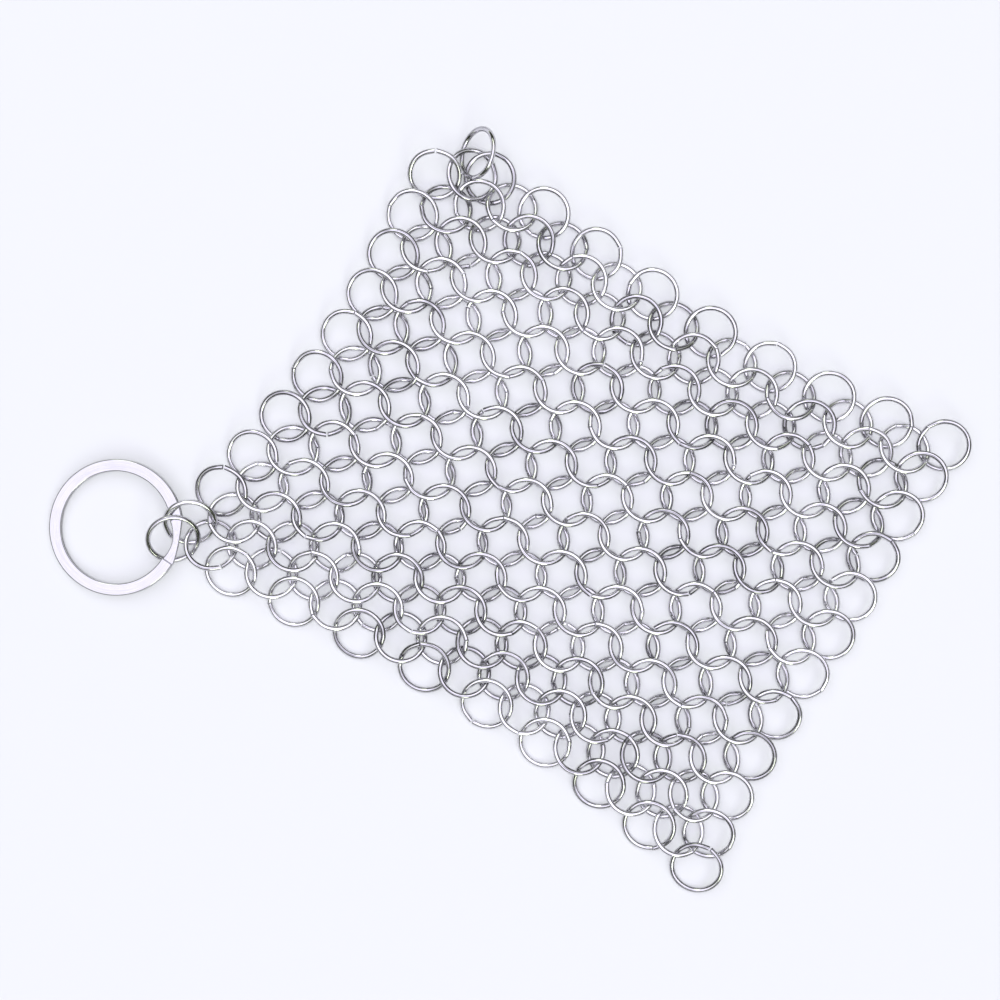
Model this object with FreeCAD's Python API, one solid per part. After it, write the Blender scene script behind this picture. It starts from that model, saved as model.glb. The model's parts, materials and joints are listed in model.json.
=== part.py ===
"""A chain-mail pot scrubber: rows of linked wire rings, with a split key ring through one corner.

Lengths are in mm.  X runs along the rows, Y across them and Z up; the mat lies on the table at Z = 0.
Rows are counted from 1 at the +Y edge to 23 at the -Y edge, places along a row from 1 at the -X end.
A ring at (row, place) hangs in the four rings at (row +- 1, place +- 1), as in four-in-one chain mail.
"""
import FreeCAD, Part
import math
import os

# Wire rings
ring_inside = 9.2
wire = 1.0
joint_gap = 0.2

# Split key ring: flat strip wound twice
key_ring_outside = 28.0
key_strip_width = 2.5
key_strip_thickness = 0.75
key_turn_gap = 0.08
key_pass_gap = 2.06

# Counts
row_count = 23
place_count = 19

# How the mat lies. The shares below are of one ring's spacing along or across the rows.
ring_tilt_share = 3.5
half_length_share = 6.35
end_squeeze_share = 0.365
corner_flare_share = 0.375
left_gather_share = 0.125
row_skew_share = -0.062
half_width_share = 5.71
edge_squeeze_share = 0.674
waist_share = 0.629
fan_share = -0.09

# Local pulls that leave the rows uneven: row, place, along, across, and reach in places
pull_shares = [
    (22.0, -1.0, -0.30, -0.04, 7.5),
    (21.0, 10.0, 0.10, 0.11, 5.0),
    (5.0, -1.0, -0.04, -0.34, 3.4),
    (4.0, 5.0, -0.08, 0.16, 4.0),
    (8.0, 19.0, 0.06, -0.22, 4.5),
    (11.5, 19.0, 0.12, 0.09, 3.0),
    (1.0, 19.0, -0.17, 0.09, 4.0),
    (21.0, 19.0, -0.12, -0.09, 4.0),
    (15.0, 0.0, -0.03, 0.09, 4.0),
    (10.0, 4.0, 0.08, 0.0, 4.5),
    (16.0, 5.0, 0.02, -0.09, 4.5),
    (21.0, 0.5, -0.06, 0.02, 2.8),
    (22.5, 2.0, -0.02, 0.13, 2.8),
    (19.0, 3.0, -0.08, -0.09, 6.0),
]

# Rings that lie in a way of their own at the crumpled corner and on the key ring:
# shift along, shift across, low edge above the table in wires, tilt and lean direction in degrees
loose_ring_shares = {
    (1, 1): (0.70, -0.04, 0.8, 51.0, -157.5),
    (1, 3): (-0.05, -0.13, 0.0, 17.5, -115.0),
    (2, 2): (0.17, 0.05, 0.0, 19.5, 39.0),
    (3, 1): (0.045, 0.02, 0.1, 28.5, -62.5),
    (21, 1): (-0.028, -0.076, 0.0, 36.5, -49.0),
    (23, 1): (-0.053, 0.225, 0.4, 32.5, -39.0),
}

# Split key ring: which way it hangs off the corner, and where its turns cross over, in degrees
key_ring_direction = 41.5
key_pass_along_share = -0.235
key_pass_across_share = 0.22
jog_start = -42.0
jog_end = -4.0
jog_steps = 10
jog_width_share = 0.6

corner_names = {
    (1, 1): "corner_ring_top",
    (1, place_count): "corner_ring_right",
    (row_count, place_count): "corner_ring_bottom",
    (row_count, 1): "corner_ring_left",
}
key_ring_rings = ((row_count - 2, 1), (row_count, 1))

ring_mean = ring_inside + wire
ring_radius = ring_mean / 2
wire_radius = wire / 2
along_unit = ring_inside + 0.4 * wire
across_unit = ring_inside - 0.3 * wire
middle_row = (row_count + 1) / 2
middle_place = (place_count + 1) / 2
ring_tilt = math.asin(ring_tilt_share * wire / ring_mean)
golden_angle = 137.5

key_outer_radius = key_ring_outside / 2
key_mean_radius = key_outer_radius - key_strip_width / 2
key_stack = 2 * key_strip_thickness + key_turn_gap
key_lift = wire + key_pass_gap


def plan_place(row, place):
    """Where the formula puts a ring's centre in plan."""
    u = (place - middle_place) / (middle_place - 1)
    v = (middle_row - row) / (middle_row - 1)
    along = u * (half_length_share - end_squeeze_share * u * u + corner_flare_share * v * v)
    along += left_gather_share * u * u + row_skew_share * u * v
    across = v * (half_width_share - edge_squeeze_share * v * v + waist_share * u * u) + fan_share * u * v
    for pull_row, pull_place, pull_along, pull_across, reach in pull_shares:
        distance = math.hypot(row - pull_row, place - pull_place) / reach
        weight = math.exp(-distance * distance)
        along += pull_along * weight
        across += pull_across * weight
    return along * along_unit, across * across_unit


def heading(start, end):
    """Unit direction in plan from one place to another."""
    dx = end[0] - start[0]
    dy = end[1] - start[1]
    length = math.hypot(dx, dy)
    return dx / length, dy / length


def ring_pose(row, place):
    """Centre of a ring, its level direction, the direction up its slope and its axis."""
    x, y = plan_place(row, place)
    if (row, place) in loose_ring_shares:
        along, across, low_edge, tilt_degrees, lean_degrees = loose_ring_shares[(row, place)]
        tilt = math.radians(tilt_degrees)
        lean = math.radians(lean_degrees)
        x += along * along_unit
        y += across * across_unit
        lift = low_edge * wire
    else:
        rising = heading(plan_place(row + 1, place - 1), plan_place(row - 1, place + 1))
        falling = heading(plan_place(row - 1, place - 1), plan_place(row + 1, place + 1))
        level = math.atan2(rising[1] + falling[1], rising[0] + falling[0])
        tilt = ring_tilt
        lean = level - math.pi / 2 if row % 2 else level + math.pi / 2
        lift = 0.0
    centre = (x, y, lift + ring_radius * math.sin(tilt) + wire_radius)
    level_axis = (-math.sin(lean), math.cos(lean), 0.0)
    slope_axis = (-math.cos(tilt) * math.cos(lean), -math.cos(tilt) * math.sin(lean), math.sin(tilt))
    ring_axis = (math.sin(tilt) * math.cos(lean), math.sin(tilt) * math.sin(lean), math.cos(tilt))
    return centre, level_axis, slope_axis, ring_axis


def row_places(row):
    """Odd rows start at the first place, even rows half a pitch in."""
    first = 1 if row % 2 else 2
    return range(first, place_count + 1, 2)


def key_ring_pose():
    """Centre of the key ring's underside, its direction towards the mat, its side direction and its axis."""
    near = [ring_pose(*key)[0] for key in key_ring_rings]
    pass_x = sum(point[0] for point in near) / len(near) + key_pass_along_share * along_unit
    pass_y = sum(point[1] for point in near) / len(near) + key_pass_across_share * across_unit
    turn = math.radians(key_ring_direction)
    tilt = math.asin(key_lift / key_ring_outside)
    centre = (
        pass_x - key_mean_radius * math.cos(turn),
        pass_y - key_mean_radius * math.sin(turn),
        key_outer_radius * math.sin(tilt),
    )
    towards = (math.cos(tilt) * math.cos(turn), math.cos(tilt) * math.sin(turn), math.sin(tilt))
    side = (-math.sin(turn), math.cos(turn), 0.0)
    axis = (-math.sin(tilt) * math.cos(turn), -math.sin(tilt) * math.sin(turn), math.cos(tilt))
    return centre, towards, side, axis


def all_rings():
    """Every ring's (row, place) with its pose."""
    return {(row, place): ring_pose(row, place) for row in range(1, row_count + 1) for place in row_places(row)}


def extent(poses, key_pose, direction):
    """Lowest and highest reach of the whole part along X, Y or Z."""
    low = []
    high = []
    for centre, level_axis, slope_axis, ring_axis in poses.values():
        reach = ring_radius * math.sqrt(1 - ring_axis[direction] ** 2) + wire_radius
        low.append(centre[direction] - reach)
        high.append(centre[direction] + reach)
    centre, towards, side, axis = key_pose
    reach = key_outer_radius * math.sqrt(1 - axis[direction] ** 2)
    thick = key_stack * axis[direction]
    low.append(centre[direction] - reach + min(0.0, thick))
    high.append(centre[direction] + reach + max(0.0, thick))
    return min(low), max(high)


def part_origin(poses, key_pose):
    """Middle of the part in plan, on the table."""
    x_low, x_high = extent(poses, key_pose, 0)
    y_low, y_high = extent(poses, key_pose, 1)
    z_low, z_high = extent(poses, key_pose, 2)
    return (x_low + x_high) / 2, (y_low + y_high) / 2, z_low


def placement(centre, origin, x_axis, y_axis, z_axis):
    """Placement that carries a shape's own axes to the given ones, from the part's origin."""
    return FreeCAD.Placement(FreeCAD.Matrix(
        x_axis[0], y_axis[0], z_axis[0], centre[0] - origin[0],
        x_axis[1], y_axis[1], z_axis[1], centre[1] - origin[1],
        x_axis[2], y_axis[2], z_axis[2], centre[2] - origin[2],
        0, 0, 0, 1,
    ))


def wire_ring(pose, origin, count):
    """One ring of round wire, closed by a butt joint."""
    centre, level_axis, slope_axis, ring_axis = pose
    sweep = 360.0 - math.degrees(joint_gap / ring_radius)
    ring = Part.makeTorus(ring_radius, wire_radius, FreeCAD.Vector(0, 0, 0), FreeCAD.Vector(0, 0, 1), 0, 360, sweep)
    ring.rotate(FreeCAD.Vector(0, 0, 0), FreeCAD.Vector(0, 0, 1), golden_angle * count)
    spin = FreeCAD.Placement(ring.Placement)
    ring.Placement = placement(centre, origin, level_axis, slope_axis, ring_axis).multiply(spin)
    return ring


def strip_section(angle, base, width_share=1.0):
    """Cross-section of the key ring's strip at an angle, with its underside at a height."""
    turn = math.radians(angle)
    inner = key_mean_radius - width_share * key_strip_width / 2
    outer = key_mean_radius + width_share * key_strip_width / 2
    top = base + key_strip_thickness
    corners = [(inner, base), (outer, base), (outer, top), (inner, top)]
    points = [FreeCAD.Vector(r * math.cos(turn), r * math.sin(turn), z) for r, z in corners]
    return Part.makePolygon(points + points[:1])


def strip_turn(start, end, base):
    """Flat turn of the key ring's strip between two angles."""
    face = Part.Face(strip_section(start, base))
    return face.revolve(FreeCAD.Vector(0, 0, 0), FreeCAD.Vector(0, 0, 1), end - start)


def key_ring(pose, origin):
    """The split key ring: a lower turn, the jog where it climbs, and an upper turn."""
    upper_base = key_strip_thickness + key_turn_gap
    end_gap = math.degrees(key_turn_gap / key_mean_radius)
    jog_sections = []
    for step in range(jog_steps + 1):
        part_way = step / jog_steps
        climb = part_way * part_way * (3 - 2 * part_way)
        angle = jog_start + (jog_end - jog_start) * part_way
        width_share = 1 - (1 - jog_width_share) * 4 * part_way * (1 - part_way)
        jog_sections.append(strip_section(angle, upper_base * climb, width_share))
    jog = Part.makeLoft(jog_sections, True, True)
    lower_turn = strip_turn(jog_end + end_gap, jog_start + 360.0, 0.0)
    upper_turn = strip_turn(jog_end, jog_start + 360.0 - end_gap, upper_base)
    whole = lower_turn.fuse([jog, upper_turn]).removeSplitter()
    ring = whole.Solids[0]
    centre, towards, side, axis = pose
    ring.Placement = placement(centre, origin, towards, side, axis)
    return ring


def main():
    os.makedirs("parts", exist_ok=True)
    poses = all_rings()
    key_pose = key_ring_pose()
    origin = part_origin(poses, key_pose)
    rows = {}
    corners = {}
    for count, (key, pose) in enumerate(poses.items()):
        ring = wire_ring(pose, origin, count)
        if key in corner_names:
            corners[corner_names[key]] = ring
        else:
            rows.setdefault("ring_row_%02d" % key[0], []).append(ring)
    for name, rings in rows.items():
        Part.makeCompound(rings).exportStep("parts/%s.step" % name)
    for name, ring in corners.items():
        ring.exportStep("parts/%s.step" % name)
    key_ring(key_pose, origin).exportStep("parts/split_key_ring.step")


main()
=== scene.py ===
"""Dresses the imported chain-mail pot scrubber: wire rings, split key ring, table, light and camera."""

import json
import logging
import math
import random
from dataclasses import dataclass, field
from enum import Enum

import bpy
import numpy as np
from mathutils import Matrix, Vector

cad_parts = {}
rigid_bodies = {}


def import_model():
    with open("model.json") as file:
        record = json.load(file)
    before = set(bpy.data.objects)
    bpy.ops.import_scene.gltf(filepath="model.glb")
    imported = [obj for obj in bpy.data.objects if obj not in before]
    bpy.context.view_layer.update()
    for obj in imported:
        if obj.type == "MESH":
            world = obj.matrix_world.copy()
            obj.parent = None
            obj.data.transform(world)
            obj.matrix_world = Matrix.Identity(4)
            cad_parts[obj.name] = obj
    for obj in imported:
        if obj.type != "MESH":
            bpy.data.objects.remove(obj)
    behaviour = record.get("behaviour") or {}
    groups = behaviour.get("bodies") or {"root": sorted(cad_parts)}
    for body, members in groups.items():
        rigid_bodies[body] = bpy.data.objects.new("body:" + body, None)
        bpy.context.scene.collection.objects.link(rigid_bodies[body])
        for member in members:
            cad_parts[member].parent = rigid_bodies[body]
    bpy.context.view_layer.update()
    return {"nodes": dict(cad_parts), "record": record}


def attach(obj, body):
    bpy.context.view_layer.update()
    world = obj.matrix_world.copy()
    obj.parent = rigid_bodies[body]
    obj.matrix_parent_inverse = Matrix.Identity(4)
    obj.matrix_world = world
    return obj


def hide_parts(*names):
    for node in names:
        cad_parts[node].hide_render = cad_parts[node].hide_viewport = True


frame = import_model()

MM = 0.001
VARIETY_SEED = 219
SENSOR_WIDTH_MM = 36.0
log = logging.getLogger("pot_scrubber")


def linear(hex_colour: str) -> tuple[float, float, float, float]:
    """Turns an sRGB colour into the linear one that a shader takes.

    Args:
        hex_colour: the colour as #RRGGBB.

    Returns:
        Red, green, blue and alpha.
    """
    channels = [int(hex_colour[start:start + 2], 16) / 255 for start in (1, 3, 5)]
    red, green, blue = [c / 12.92 if c <= 0.04045 else ((c + 0.055) / 1.055) ** 2.4 for c in channels]
    return red, green, blue, 1.0


def add_node(tree: bpy.types.NodeTree, kind: str, settings: dict | None = None,
             inputs: dict | None = None) -> bpy.types.Node:
    """Adds a shader node, sets it up and links it.

    Args:
        tree: the node tree that gets the node.
        kind: the node's type name.
        settings: the node's own options by name.
        inputs: a value, or another node's output to link, for each named or numbered input.

    Returns:
        The new node.
    """
    node = tree.nodes.new(kind)
    for name, value in (settings or {}).items():
        setattr(node, name, value)
    for socket, value in (inputs or {}).items():
        if isinstance(value, bpy.types.NodeSocket):
            tree.links.new(value, node.inputs[socket])
        else:
            node.inputs[socket].default_value = value
    return node


def select_only(*pieces: bpy.types.Object) -> None:
    """Leaves just these objects selected, with the first one active.

    Args:
        pieces: the objects to select.

    Returns:
        Nothing.
    """
    bpy.ops.object.select_all(action="DESELECT")
    for piece in pieces:
        piece.select_set(True)
    bpy.context.view_layer.objects.active = pieces[0]


def vertex_places(piece: bpy.types.Object) -> np.ndarray:
    """Reads a mesh's vertices.

    Args:
        piece: the object to read.

    Returns:
        One row of X, Y and Z for each vertex.
    """
    places = np.empty(len(piece.data.vertices) * 3)
    piece.data.vertices.foreach_get("co", places)
    return places.reshape(-1, 3)


def circle_middle(points: np.ndarray) -> np.ndarray:
    """Finds the middle of points that lie on or around a circle.

    Args:
        points: one row of two flat coordinates for each point.

    Returns:
        The middle's two coordinates.
    """
    equations = np.column_stack([2 * points, np.ones(len(points))])
    return np.linalg.lstsq(equations, (points ** 2).sum(1), rcond=None)[0][:2]


class JointLook(Enum):
    """How the two ends of a ring's wire meet: the gap between them and the side step, in mm."""

    TIGHT = (0.2, 0.02)
    SPRUNG = (0.42, 0.04)
    STEPPED = (0.26, 0.16)

    @property
    def gap(self) -> float:
        """Room between the two wire ends, in metres."""
        return self.value[0] * MM

    @property
    def step(self) -> float:
        """How far one end stands beside the other, in metres."""
        return self.value[1] * MM


@dataclass(frozen=True)
class SteelFinish:
    """A bright steel surface with the lines its making left along it.

    Args:
        name: the material's name.
        tints: darkest, usual and lightest sRGB tint from draw line to draw line and patch to patch.
        edge_tint: sRGB tint that it takes on where it is seen at a glancing angle.
        smooth: roughness of the best polished streaks.
        dull: roughness of the dullest streaks.
        line_width: distance from one draw line to the next, in mm.
        line_length: length of a draw line, in mm.
        line_depth: depth of the draw lines, in mm.
        run: name of the attribute that holds the place along and across the wire, in mm.
        cloud_scale: cloudy patches in a mm, from handling.
        cloud_weight: how much the patches count in the tint, beside the lines.
        tone_weight: how much each ring's own tone counts.
        shade_middle: the usual sum of lines, patches and tone, whose middles are 0.5, 0.15 and 0.1.
        shade_spread: how far from it the darkest and lightest tints lie.
        polish_range: lines from the best polished to the dullest, out of 0 to 1.
    """

    name: str
    tints: tuple[str, str, str]
    edge_tint: str
    smooth: float
    dull: float
    line_width: float
    line_length: float
    line_depth: float
    run: str
    cloud_scale: float = 0.4
    cloud_weight: float = 0.3
    tone_weight: float = 0.2
    shade_middle: float = 0.75
    shade_spread: float = 0.2
    polish_range: tuple[float, float] = (0.3, 0.7)

    def material(self) -> bpy.types.Material:
        """Builds the steel's shader.

        Returns:
            The new material.
        """
        material = bpy.data.materials.new(self.name)
        material.use_nodes = True
        tree = material.node_tree
        tree.nodes.clear()
        run = add_node(tree, "ShaderNodeAttribute", {"attribute_name": self.run})
        tone = add_node(tree, "ShaderNodeAttribute", {"attribute_name": "tone"})
        # one noise cell is one draw line: long along the wire and narrow round it
        stretch = (1 / self.line_length, 1 / self.line_width, 1 / self.line_width)
        stretched = add_node(tree, "ShaderNodeMapping", {}, {
            "Vector": run.outputs["Vector"], "Scale": stretch})
        lines = add_node(tree, "ShaderNodeTexNoise", {}, {
            "Vector": stretched.outputs["Vector"], "Scale": 1.0, "Detail": 2.0, "Roughness": 0.6})
        clouds = add_node(tree, "ShaderNodeTexNoise", {}, {
            "Vector": run.outputs["Vector"], "Scale": self.cloud_scale, "Detail": 3.0, "Roughness": 0.55})
        patches = add_node(tree, "ShaderNodeMath", {"operation": "MULTIPLY_ADD"}, {
            0: clouds.outputs["Fac"], 1: self.cloud_weight, 2: lines.outputs["Fac"]})
        shade = add_node(tree, "ShaderNodeMath", {"operation": "MULTIPLY_ADD"}, {
            0: tone.outputs["Fac"], 1: self.tone_weight, 2: patches.outputs["Value"]})
        tint = add_node(tree, "ShaderNodeValToRGB", {}, {"Fac": shade.outputs["Value"]})
        ramp = tint.color_ramp
        ramp.elements[0].position = self.shade_middle - self.shade_spread
        ramp.elements[0].color = linear(self.tints[0])
        ramp.elements[1].position = self.shade_middle + self.shade_spread
        ramp.elements[1].color = linear(self.tints[2])
        ramp.elements.new(self.shade_middle).color = linear(self.tints[1])
        streaks = add_node(tree, "ShaderNodeMapRange", {}, {
            "Value": lines.outputs["Fac"],
            "From Min": self.polish_range[0], "From Max": self.polish_range[1],
            "To Min": self.smooth, "To Max": self.dull})
        relief = add_node(tree, "ShaderNodeBump", {}, {
            "Height": lines.outputs["Fac"], "Strength": 0.6, "Distance": self.line_depth * MM})
        steel = add_node(tree, "ShaderNodeBsdfPrincipled", {}, {
            "Base Color": tint.outputs["Color"], "Roughness": streaks.outputs["Result"],
            "Normal": relief.outputs["Normal"], "Metallic": 1.0, "Specular Tint": linear(self.edge_tint)})
        add_node(tree, "ShaderNodeOutputMaterial", {}, {"Surface": steel.outputs["BSDF"]})
        return material


# drawn stainless wire, tumbled smooth: grey with a soft bright line down its middle
WIRE_STEEL = SteelFinish(
    name="stainless_ring_wire", tints=("#908F91", "#E3E2E4", "#F6F5F7"), edge_tint="#808084",
    smooth=0.06, dull=0.16,
    line_width=0.28, line_length=9.0, line_depth=0.015, run="wire_run")

# nickel plate over rolled spring steel: almost white where it lies flat
KEY_RING_NICKEL = SteelFinish(
    name="nickel_plated_strip", tints=("#C4C4C4", "#CCCCCC", "#D4D4D4"), edge_tint="#CCCCCC",
    smooth=0.06, dull=0.13,
    line_width=0.09, line_length=6.0, line_depth=0.002, run="wire_run")


@dataclass(frozen=True)
class RingPose:
    """Where a ring of the frame lies.

    Args:
        middle: the ring's middle.
        axis: unit direction through the ring.
        joint: unit direction from the middle to the butt joint.
        radius: from the middle to the middle of the wire.
        wire_radius: half the wire's thickness.
    """

    middle: np.ndarray
    axis: np.ndarray
    joint: np.ndarray
    radius: float
    wire_radius: float

    def matrix(self) -> Matrix:
        """Carries a ring modelled flat, with its joint on +X, to its place.

        Returns:
            The 4 by 4 matrix.
        """
        across = np.cross(self.axis, self.joint)
        columns = np.column_stack([self.joint, across, self.axis, self.middle])
        return Matrix([*columns.tolist(), [0, 0, 0, 1]])

    def tilt(self) -> float:
        """Finds how steeply the ring lies.

        Returns:
            The angle between the ring and the table, in radians.
        """
        return math.acos(min(1.0, abs(self.axis[2])))


@dataclass(frozen=True)
class RingSurvey:
    """Reads the rings' places from the frame's solids.

    Args:
        weld: how close two vertices of a solid's mesh are when they are one.
        end_facing: how squarely a face has to look along the wire to be a cut end, up to 1.
    """

    weld: float = 0.001 * MM
    end_facing: float = 0.98

    def loose_parts(self, node: bpy.types.Object) -> list[bpy.types.Object]:
        """Splits a copy of a node into its separate solids.

        Args:
            node: the frame's object.

        Returns:
            One object for each solid, to be removed after reading.
        """
        others = set(bpy.data.objects)
        copy = node.copy()
        copy.data = node.data.copy()
        copy.parent = None
        bpy.context.collection.objects.link(copy)
        select_only(copy)
        bpy.ops.object.mode_set(mode="EDIT")
        bpy.ops.mesh.select_all(action="SELECT")
        bpy.ops.mesh.remove_doubles(threshold=self.weld)
        bpy.ops.mesh.separate(type="LOOSE")
        bpy.ops.object.mode_set(mode="OBJECT")
        return [part for part in bpy.data.objects if part not in others]

    def pose(self, part: bpy.types.Object) -> RingPose:
        """Measures one ring.

        Args:
            part: a ring's own mesh.

        Returns:
            Its place and sizes.
        """
        places = vertex_places(part)
        about = places.mean(0)
        directions = np.linalg.svd(places - about, full_matrices=False)[2]
        axis = directions[2] * (1.0 if directions[2][2] > 0 else -1.0)
        flat = (places - about) @ directions[:2].T
        middle_flat = circle_middle(flat)
        middle = about + middle_flat @ directions[:2]
        reach = np.hypot(*(flat - middle_flat).T)
        faces = part.data.polygons
        normals = np.empty(len(faces) * 3)
        centres = np.empty(len(faces) * 3)
        faces.foreach_get("normal", normals)
        faces.foreach_get("center", centres)
        outward = centres.reshape(-1, 3) - middle
        along = np.cross(axis, outward)
        along /= np.linalg.norm(along, axis=1)[:, None]
        # only the two cut ends of the wire face along it
        cut_ends = np.abs((normals.reshape(-1, 3) * along).sum(1)) > self.end_facing
        joint = outward[cut_ends].mean(0)
        joint -= axis * (joint @ axis)
        joint /= np.linalg.norm(joint)
        radius = (reach.max() + reach.min()) / 2
        wire_radius = (reach.max() - reach.min()) / 2
        return RingPose(middle, axis, joint, radius, wire_radius)

    def read(self, node_name: str) -> list[RingPose]:
        """Measures every ring of a node.

        Args:
            node_name: the frame's node.

        Returns:
            The poses of its rings.
        """
        parts = self.loose_parts(frame["nodes"][node_name])
        poses = [self.pose(part) for part in parts]
        for part in parts:
            mesh = part.data
            bpy.data.objects.remove(part)
            bpy.data.meshes.remove(mesh)
        return poses


@dataclass(frozen=True)
class WireRing:
    """One ring of round wire, modelled flat round the origin with its joint on +X.

    Args:
        radius: from the middle to the middle of the wire.
        wire_radius: half the wire's thickness.
        inward_press: how far coiling has spread the wire towards the ring's middle.
        outward_press: how far it has spread it the other way.
        flat_press: how much thinner the pressed wire is.
        sides: corners of the wire's section before it is smoothed.
        sections: sections round the ring before it is smoothed.
    """

    radius: float
    wire_radius: float
    inward_press: float = 0.02 * MM
    outward_press: float = 0.02 * MM
    flat_press: float = 0.02 * MM
    sides: int = 5
    sections: int = 12

    def smoothing_share(self, corners: int) -> float:
        """How far smoothing pulls a regular polygon's corners in.

        Args:
            corners: the polygon's corners.

        Returns:
            The smoothed circle's radius over the polygon's.
        """
        return (2 + math.cos(2 * math.pi / corners)) / 3

    def model(self, look: JointLook) -> bpy.types.Object:
        """Models the ring as a coarse tube, ready for smoothing.

        Args:
            look: how its wire ends meet.

        Returns:
            The ring, as a pattern to copy.
        """
        round_share = self.smoothing_share(self.sections)
        wire_line = self.radius + (self.outward_press - self.inward_press) / 2
        wide_share = 1 + (self.outward_press + self.inward_press) / (2 * self.wire_radius)
        thin_share = 1 - self.flat_press / (2 * self.wire_radius)
        cage_radius = wire_line / round_share
        cage_wire = self.wire_radius / self.smoothing_share(self.sides)
        opening = look.gap / self.radius
        bpy.ops.object.select_all(action="DESELECT")
        bpy.ops.mesh.primitive_circle_add(
            vertices=self.sides, radius=cage_wire, fill_type="NGON",
            location=(cage_radius, 0, 0), rotation=(math.pi / 2, 0, 0))
        ring = bpy.context.object
        ring.name = "ring_pattern_" + look.name.lower()
        bpy.ops.object.transform_apply(location=True, rotation=True, scale=True)
        bpy.ops.object.mode_set(mode="EDIT")
        bpy.ops.mesh.select_all(action="SELECT")
        bpy.ops.transform.resize(value=(wide_share / round_share, 1, thin_share))
        bpy.ops.mesh.spin(
            steps=self.sections, angle=opening - 2 * math.pi, center=(0, 0, 0), axis=(0, 0, 1))
        # both cut ends stay sharp, and come in to where smoothing leaves the rest of the wire
        bpy.ops.mesh.select_all(action="SELECT")
        bpy.ops.mesh.normals_make_consistent(inside=False)
        bpy.ops.mesh.select_mode(type="FACE")
        bpy.ops.mesh.select_all(action="DESELECT")
        bpy.ops.mesh.select_face_by_sides(number=self.sides, type="EQUAL", extend=False)
        bpy.ops.transform.edge_crease(value=1.0)
        bpy.ops.mesh.mark_sharp()
        bpy.ops.transform.translate(value=(wire_line - cage_radius, 0, 0))
        bpy.ops.transform.resize(value=(round_share, 1, 1))
        bpy.ops.object.mode_set(mode="OBJECT")
        self.step_end(ring, look)
        self.label(ring)
        bpy.ops.object.shade_smooth()
        return ring

    def step_end(self, ring: bpy.types.Object, look: JointLook) -> None:
        """Turns the joint to +X and moves one cut end aside.

        Args:
            ring: the ring's object.
            look: how its wire ends meet.

        Returns:
            Nothing.
        """
        ends = [vertex for vertex in ring.data.vertices if vertex.select]
        middle = sum((vertex.co for vertex in ends), Vector()) / len(ends)
        ring.data.transform(Matrix.Rotation(-math.atan2(middle.y, middle.x), 4, "Z"))
        for vertex in ends:
            if vertex.co.y > 0:
                vertex.co.z += look.step

    def label(self, ring: bpy.types.Object) -> None:
        """Notes each vertex's place along the wire and in its section, in mm, for the finish.

        Args:
            ring: the ring's object.

        Returns:
            Nothing.
        """
        places = vertex_places(ring)
        turn = np.mod(np.arctan2(places[:, 1], places[:, 0]), 2 * math.pi)
        run = np.column_stack([
            turn * self.radius, np.hypot(places[:, 0], places[:, 1]) - self.radius, places[:, 2]]) / MM
        stretch = ring.data.attributes.new("wire_run", "FLOAT_VECTOR", "POINT")
        stretch.data.foreach_set("vector", run.ravel())
        ring.data.attributes.new("tone", "FLOAT", "POINT")


@dataclass
class RingRow:
    """The rings of one node, copied from the patterns and smoothed.

    Args:
        node: the frame's node that the rings stand for.
        poses: where its rings lie.
        joint_weights: how common each joint look is, in their order.
        longest_run: how far along the drawn wire a ring may come from, in mm.
        steep: tilt, in degrees, above which a ring's lowest edge leaves its wire no room to spread.
        smoothing: levels of subdivision.
    """

    node: str
    poses: list[RingPose]
    joint_weights: tuple[int, int, int] = (5, 2, 3)
    longest_run: float = 5000.0
    steep: float = 30.0
    smoothing: int = 2

    def build(
        self,
        patterns: dict[tuple[WireRing, JointLook], bpy.types.Object],
        pressed: WireRing,
        plain: WireRing,
        chance: random.Random,
    ) -> bpy.types.Object:
        """Copies a pattern to each ring's place and joins them into one piece.

        Args:
            patterns: the modelled ring for each ring and joint look.
            pressed: the ring that most of the mat is made of.
            plain: the ring used where the part's own limits leave no room to spread.
            chance: the seeded source of variety.

        Returns:
            The finished piece.
        """
        rings = []
        for pose in self.poses:
            look = chance.choices(list(JointLook), weights=self.joint_weights)[0]
            at_limit = self.node.startswith("corner_ring") or pose.tilt() > math.radians(self.steep)
            pattern = patterns[plain if at_limit else pressed, look]
            ring = pattern.copy()
            ring.data = pattern.data.copy()
            ring.data.transform(pose.matrix())
            self.vary(ring, chance)
            bpy.context.collection.objects.link(ring)
            rings.append(ring)
        select_only(*rings)
        if len(rings) > 1:
            bpy.ops.object.join()
        piece = bpy.context.object
        piece.name = self.node + "_wire"
        round_wire = piece.modifiers.new("round_wire", "SUBSURF")
        round_wire.levels = self.smoothing
        round_wire.render_levels = self.smoothing
        piece.modifiers.new("even_shading", "WEIGHTED_NORMAL").keep_sharp = True
        return piece

    def vary(self, ring: bpy.types.Object, chance: random.Random) -> None:
        """Gives a ring its own tone and its own stretch of wire.

        Args:
            ring: the ring's copy.
            chance: the seeded source of variety.

        Returns:
            Nothing.
        """
        count = len(ring.data.vertices)
        run = np.empty(count * 3)
        stretch = ring.data.attributes["wire_run"].data
        stretch.foreach_get("vector", run)
        run[0::3] += chance.uniform(0.0, self.longest_run)
        stretch.foreach_set("vector", run)
        ring.data.attributes["tone"].data.foreach_set("value", np.full(count, chance.random()))


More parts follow.
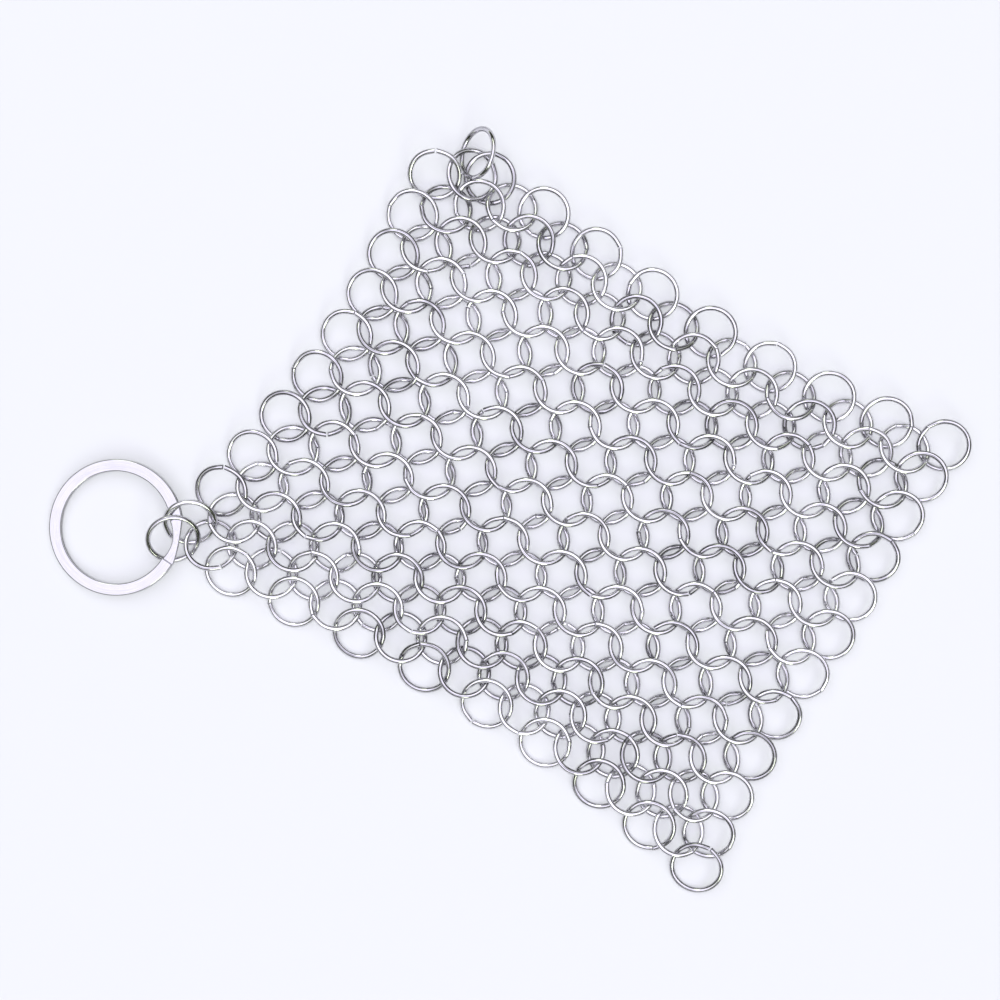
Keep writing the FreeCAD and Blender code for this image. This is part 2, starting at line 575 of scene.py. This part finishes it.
@dataclass
class SplitKeyRing:
    """The flat strip wound twice, with the jog where it climbs from the lower turn to the upper one.

    Args:
        node: the frame's node.
        strip_width: width of the strip.
        strip_thickness: thickness of the strip.
        turn_gap: room between the two turns.
        end_gap: room between a cut end and the jog beside it.
        edge_round: radius of the strip's rolled edges.
        end_round: size of the bevel round its cut ends.
        jog_start: where the climb starts, in degrees from the direction towards the mat.
        jog_end: where the climb ends.
        jog_width_share: width of the strip half way up the climb.
        jog_steps: sections in the climb.
        turn_steps: sections in each turn.
        face_up: how squarely a face has to look up to lie on the strip's flat side, up to 1.
        rim_share: share of the strip's width that counts as its outer edge.
        outer_radius: the key ring's outside radius, found from its solid.
    """

    node: str = "split_key_ring"
    strip_width: float = 2.5 * MM
    strip_thickness: float = 0.75 * MM
    turn_gap: float = 0.08 * MM
    end_gap: float = 0.25 * MM
    edge_round: float = 0.3 * MM
    end_round: float = 0.06 * MM
    jog_start: float = -42.0
    jog_end: float = -4.0
    jog_width_share: float = 0.6
    jog_steps: int = 16
    turn_steps: int = 112
    face_up: float = 0.97
    rim_share: float = 0.1
    outer_radius: float = field(default=0.0, init=False)

    def matrix(self) -> Matrix:
        """Finds the key ring's place from its solid, and its outside radius.

        Returns:
            The matrix that carries a ring modelled flat, with the mat towards +X, to its place.
        """
        solid = frame["nodes"][self.node]
        faces = solid.data.polygons
        normals = np.empty(len(faces) * 3)
        faces.foreach_get("normal", normals)
        normals = normals.reshape(-1, 3)
        axis = np.median(normals[normals[:, 2] > self.face_up], axis=0)
        axis /= np.linalg.norm(axis)
        # the ring lies on the mat's corner, so it rises towards the mat
        towards = np.array([-axis[0], -axis[1], 0.0])
        towards -= axis * (towards @ axis)
        towards /= np.linalg.norm(towards)
        side = np.cross(axis, towards)
        places = vertex_places(solid)
        about = places.mean(0)
        flat = (places - about) @ np.column_stack([towards, side])
        rough_middle = (flat.max(0) + flat.min(0)) / 2
        reach = np.hypot(*(flat - rough_middle).T)
        outer_edge = flat[reach > reach.max() - self.rim_share * self.strip_width]
        middle_flat = circle_middle(outer_edge)
        self.outer_radius = float(np.hypot(*(outer_edge - middle_flat).T).mean())
        underside = ((places - about) @ axis).min()
        middle = about + middle_flat[0] * towards + middle_flat[1] * side + underside * axis
        columns = np.column_stack([towards, side, axis, middle])
        return Matrix([*columns.tolist(), [0, 0, 0, 1]])

    def model(self) -> bpy.types.Object:
        """Winds the strip: lower turn, jog and upper turn in one run.

        Returns:
            The key ring in its place.
        """
        place = self.matrix()
        mean_radius = self.outer_radius - self.strip_width / 2
        climb = self.strip_thickness + self.turn_gap
        end_gap = self.end_gap / mean_radius
        jog_turn = math.radians(self.jog_end - self.jog_start)
        full_turn = 2 * math.pi - jog_turn - end_gap
        first_angle = math.radians(self.jog_end) + end_gap
        bpy.ops.object.select_all(action="DESELECT")
        bpy.ops.mesh.primitive_plane_add(
            size=1.0, location=(mean_radius, 0, self.strip_thickness / 2), rotation=(math.pi / 2, 0, 0))
        ring = bpy.context.object
        ring.name = "split_key_ring_strip"
        ring.scale = (self.strip_width, self.strip_thickness, 1.0)
        bpy.ops.object.transform_apply(location=True, rotation=True, scale=True)
        bpy.ops.object.mode_set(mode="EDIT")
        bpy.ops.mesh.select_all(action="SELECT")
        bpy.ops.mesh.bevel(offset=self.edge_round, segments=4, affect="VERTICES")
        bpy.ops.mesh.select_all(action="SELECT")
        self.wind(full_turn, self.turn_steps)
        risen = 0.0
        for step in range(1, self.jog_steps + 1):
            share = step / self.jog_steps
            height = climb * share * share * (3 - 2 * share)
            self.wind(jog_turn / self.jog_steps, 1)
            bpy.ops.transform.translate(value=(0, 0, height - risen))
            risen = height
        self.wind(full_turn, self.turn_steps)
        bpy.ops.mesh.select_all(action="SELECT")
        bpy.ops.mesh.normals_make_consistent(inside=False)
        self.round_ends()
        bpy.ops.object.mode_set(mode="OBJECT")
        ring.data.transform(Matrix.Rotation(first_angle, 4, "Z"))
        self.pinch(ring, mean_radius)
        self.label(ring, mean_radius)
        ring.data.transform(place)
        bpy.ops.object.shade_smooth_by_angle(angle=math.radians(40))
        return ring

    def wind(self, angle: float, steps: int) -> None:
        """Carries the selected section on round the ring's axis.

        Args:
            angle: how far, in radians, anticlockwise seen from above.
            steps: sections on the way.

        Returns:
            Nothing.
        """
        # the spin tool counts a clockwise turn as positive
        bpy.ops.mesh.spin(steps=steps, angle=-angle, center=(0, 0, 0), axis=(0, 0, 1))

    def pinch(self, ring: bpy.types.Object, mean_radius: float) -> None:
        """Narrows the strip where it climbs.

        Args:
            ring: the key ring, modelled flat.
            mean_radius: radius of the strip's middle line.

        Returns:
            Nothing.
        """
        places = vertex_places(ring)
        turn = np.degrees(np.arctan2(places[:, 1], places[:, 0]))
        part_way = np.clip((turn - self.jog_start) / (self.jog_end - self.jog_start), 0, 1)
        width_share = 1 - (1 - self.jog_width_share) * 4 * part_way * (1 - part_way)
        reach = np.hypot(places[:, 0], places[:, 1])
        places[:, :2] *= ((mean_radius + (reach - mean_radius) * width_share) / reach)[:, None]
        ring.data.vertices.foreach_set("co", places.ravel())
        ring.data.update()

    def round_ends(self) -> None:
        """Takes the sharp edge off the two cut ends of the strip that is being edited.

        Returns:
            Nothing.
        """
        bpy.ops.mesh.select_all(action="DESELECT")
        bpy.ops.mesh.select_mode(type="EDGE")
        bpy.ops.mesh.edges_select_sharp(sharpness=math.radians(60))
        bpy.ops.mesh.bevel(offset=self.end_round, segments=2, affect="EDGES")

    def label(self, ring: bpy.types.Object, mean_radius: float) -> None:
        """Notes each vertex's place round the ring and in the strip's section, in mm, for the finish.

        Args:
            ring: the key ring, modelled flat.
            mean_radius: radius of the strip's middle line.

        Returns:
            Nothing.
        """
        places = vertex_places(ring)
        reach = np.hypot(places[:, 0], places[:, 1])
        turn = np.arctan2(places[:, 1], places[:, 0])
        run = np.column_stack([turn * mean_radius, reach - mean_radius, places[:, 2]]) / MM
        stretch = ring.data.attributes.new("wire_run", "FLOAT_VECTOR", "POINT")
        stretch.data.foreach_set("vector", run.ravel())
        tone = ring.data.attributes.new("tone", "FLOAT", "POINT")
        tone.data.foreach_set("value", np.full(len(places), 0.5))


@dataclass
class Studio:
    """The pale table, the soft light over it and the camera that looks down on it.

    Args:
        table_size: side of the table top.
        table_colour: sRGB colour of the table top.
        table_sheer_share: how much the camera sees through the table top, to what hangs below it.
        backdrop_colour: sRGB colour of the room at the table's level and below it.
        dome_tint: red, green and blue of the light dome overhead.
        lamp_tint: red, green and blue of the two softboxes.
        dome_level: brightness of the light dome.
        dome_shares: height from the table, 0, to straight up, 1, and the room's brightness over the dome's.
        camera_place: where the camera stands.
        camera_forward: direction that it looks in.
        camera_right: direction of the picture's right edge.
        lens: focal length on a 36 mm sensor, in mm.
    """

    table_size: float = 6.0
    table_colour: str = "#F7F8FA"
    table_sheer_share: float = 0.4
    backdrop_colour: str = "#F7F9FD"
    dome_tint: tuple[float, float, float] = (0.98, 0.95, 1.13)
    lamp_tint: tuple[float, float, float] = (1.0, 1.09, 0.86)
    dome_level: float = 1.6
    dome_shares: tuple[tuple[float, float], ...] = (
        (0.05, 0.5), (0.1, 0.03), (0.55, 0.04), (0.66, 0.35), (0.78, 1.0))
    camera_place: tuple[float, float, float] = (-0.0019, -0.0072, 0.4024)
    camera_forward: tuple[float, float, float] = (0.003, 0.014, -1.0)
    camera_right: tuple[float, float, float] = (0.852, 0.524, 0.010)
    lens: float = 70.2

    def table(self) -> bpy.types.Object:
        """Lays the table top under the mat: a milky sheet, so that rings hanging below it still show.

        Returns:
            The table top.
        """
        bpy.ops.object.select_all(action="DESELECT")
        bpy.ops.mesh.primitive_plane_add(size=self.table_size, location=(0, 0, 0))
        top = bpy.context.object
        top.name = "table_top"
        material = bpy.data.materials.new("milky_white_table")
        material.use_nodes = True
        tree = material.node_tree
        tree.nodes.clear()
        matt = add_node(tree, "ShaderNodeBsdfDiffuse", {}, {"Color": linear(self.table_colour)})
        clear = add_node(tree, "ShaderNodeBsdfTransparent")
        ray = add_node(tree, "ShaderNodeLightPath")
        side = add_node(tree, "ShaderNodeNewGeometry")
        from_above = add_node(tree, "ShaderNodeMath", {"operation": "MULTIPLY"}, {
            0: ray.outputs["Is Camera Ray"], 1: self.table_sheer_share})
        # light passes up through the sheet freely, so what hangs below it is lit like the rest
        sheer = add_node(tree, "ShaderNodeMath", {"operation": "MAXIMUM"}, {
            0: from_above.outputs["Value"], 1: side.outputs["Backfacing"]})
        sheet = add_node(tree, "ShaderNodeMixShader", {}, {
            0: sheer.outputs["Value"], 1: matt.outputs["BSDF"], 2: clear.outputs["BSDF"]})
        add_node(tree, "ShaderNodeOutputMaterial", {}, {"Surface": sheet.outputs["Shader"]})
        top.data.materials.append(material)
        return top

    def room(self) -> None:
        """Lights the room: a bright dome overhead, dim walls, pale where the camera sees past the table.

        Returns:
            Nothing.
        """
        world = bpy.data.worlds.new("studio_room")
        world.use_nodes = True
        bpy.context.scene.world = world
        tree = world.node_tree
        tree.nodes.clear()
        direction = add_node(tree, "ShaderNodeTexCoord")
        height = add_node(tree, "ShaderNodeSeparateXYZ", {}, {"Vector": direction.outputs["Generated"]})
        walls = add_node(tree, "ShaderNodeValToRGB", {}, {"Fac": height.outputs["Z"]})
        ramp = walls.color_ramp
        ramp.elements[0].color = [channel / self.dome_level for channel in linear(self.backdrop_colour)]
        ramp.elements[1].color = (*self.dome_tint, 1.0)
        for height_share, level_share in self.dome_shares:
            tint = self.dome_tint if level_share == 1.0 else self.lamp_tint
            ramp.elements.new(height_share).color = (*[level_share * channel for channel in tint], 1.0)
        glow = add_node(tree, "ShaderNodeBackground", {}, {
            "Color": walls.outputs["Color"], "Strength": self.dome_level})
        add_node(tree, "ShaderNodeOutputWorld", {}, {"Surface": glow.outputs["Background"]})

    def lamp(self, name: str, towards: tuple[float, float, float], width: float,
             power: float) -> bpy.types.Object:
        """Lights the table evenly from a distant softbox.

        Args:
            name: the lamp's name.
            towards: direction from the mat to the lamp.
            width: how wide it looks from the mat, in degrees.
            power: its power in watts on each square metre that faces it.

        Returns:
            The lamp.
        """
        bpy.ops.object.light_add(type="SUN", location=towards)
        lamp = bpy.context.object
        lamp.name = name
        lamp.data.angle = math.radians(width)
        lamp.data.energy = power
        lamp.data.color = self.lamp_tint
        lamp.rotation_mode = "QUATERNION"
        lamp.rotation_quaternion = Vector(towards).to_track_quat("Z", "Y")
        return lamp

    def camera(self) -> bpy.types.Object:
        """Sets the camera where the photograph was taken from.

        Returns:
            The camera.
        """
        back = -Vector(self.camera_forward).normalized()
        up = back.cross(Vector(self.camera_right)).normalized()
        right = up.cross(back)
        bpy.ops.object.camera_add(location=self.camera_place)
        camera = bpy.context.object
        camera.name = "overhead_camera"
        camera.rotation_mode = "QUATERNION"
        camera.rotation_quaternion = Matrix((right, up, back)).transposed().to_quaternion()
        camera.data.lens = self.lens
        camera.data.sensor_width = SENSOR_WIDTH_MM
        camera.data.clip_start = 0.01
        bpy.context.scene.camera = camera
        return camera

    def build(self) -> None:
        """Sets up the whole studio.

        Returns:
            Nothing.
        """
        bpy.context.scene.view_settings.view_transform = "Standard"
        self.table()
        self.room()
        self.lamp("near_softbox", towards=(0.6, -0.5, 0.62), width=20.0, power=0.46)
        self.lamp("far_softbox", towards=(-0.55, 0.45, 0.6), width=18.0, power=0.2)
        self.camera()


def body_of_node(node: str) -> str:
    """Looks up which body a node rides on.

    Args:
        node: the frame's node.

    Returns:
        The body's name.
    """
    bodies = frame["record"]["behaviour"]["bodies"]
    return next(body for body, nodes in bodies.items() if node in nodes)


def dress(piece: bpy.types.Object, node: str, material: bpy.types.Material) -> None:
    """Puts a finished piece in its node's stead.

    Args:
        piece: the finished piece.
        node: the frame's node.
        material: its finish.

    Returns:
        Nothing.
    """
    piece.data.materials.clear()
    piece.data.materials.append(material)
    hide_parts(node)
    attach(piece, body_of_node(node))
    log.info("%s stands for %s on %s, %d faces before smoothing", piece.name, node, body_of_node(node),
             len(piece.data.polygons))


def build_mail() -> None:
    """Builds every ring of the mat, row by row.

    Returns:
        Nothing.
    """
    survey = RingSurvey()
    nodes = sorted(name for name in frame["nodes"] if name.startswith(("ring_row", "corner_ring")))
    poses = {node: survey.read(node) for node in nodes}
    every = [pose for rings in poses.values() for pose in rings]
    radius = float(np.median([pose.radius for pose in every]))
    wire_radius = float(np.median([pose.wire_radius for pose in every]))
    log.info("%d rings, radius %.3f mm, wire %.3f mm", len(every), radius / MM, 2 * wire_radius / MM)
    pressed = WireRing(radius, wire_radius)
    # a hair inside the solid, so that smoothing leaves none of it past the solid's box
    plain = WireRing(
        radius, wire_radius, inward_press=0.0, outward_press=-0.005 * MM, flat_press=0.0)
    patterns = {(ring, look): ring.model(look) for ring in (pressed, plain) for look in JointLook}
    steel = WIRE_STEEL.material()
    chance = random.Random(VARIETY_SEED)
    for node in nodes:
        piece = RingRow(node, poses[node]).build(patterns, pressed, plain, chance)
        dress(piece, node, steel)
    for pattern in patterns.values():
        bpy.data.objects.remove(pattern)


def build_key_ring() -> None:
    """Builds the split key ring.

    Returns:
        Nothing.
    """
    key_ring = SplitKeyRing()
    dress(key_ring.model(), key_ring.node, KEY_RING_NICKEL.material())


def main() -> None:
    """Builds the scrubber and its studio in order.

    Returns:
        Nothing.
    """
    logging.basicConfig(level=logging.INFO, format="%(name)s: %(message)s")
    build_mail()
    build_key_ring()
    Studio().build()


if __name__ == "__main__":
    main()
